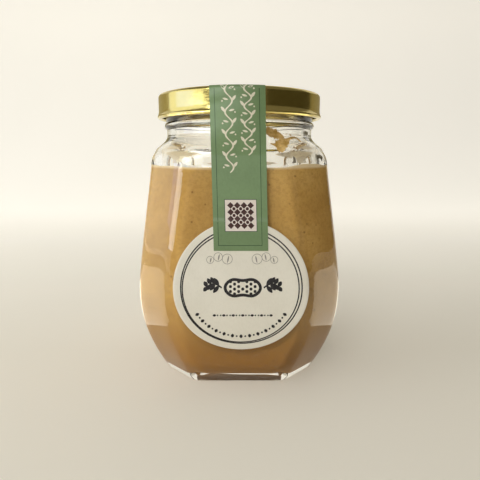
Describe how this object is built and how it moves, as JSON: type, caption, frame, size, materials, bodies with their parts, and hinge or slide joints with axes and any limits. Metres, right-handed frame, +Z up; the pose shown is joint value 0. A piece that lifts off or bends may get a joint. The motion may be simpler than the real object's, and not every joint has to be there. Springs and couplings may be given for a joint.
{
  "type": "jar of peanut butter",
  "caption": "Shut chamfered glass jar filled with peanut butter, with a gold twist-off lid, a green paper seal strip over it and a round paper label.",
  "frame": {"origin": "middle of the foot, on the surface that the jar stands on", "axes": "+Z up along the jar's axis to the lid; -Y towards the front face with the label; +X to the right seen from the front"},
  "size_m": [0.077, 0.0775, 0.1105],
  "materials": {
    "clear_glass": "clear, glossy, moulded",
    "peanut_butter": null,
    "gold_tinplate": "glossy gold lacquer on tinplate",
    "green_paper": "printed paper, soft sheen",
    "white_paper": "printed paper, matt"
  },
  "bodies": {
    "root": {"glass_jar": "clear_glass", "peanut_butter": "peanut_butter", "lid": "gold_tinplate", "seal_strip": "green_paper", "round_label": "white_paper"}
  },
  "joints": []
}
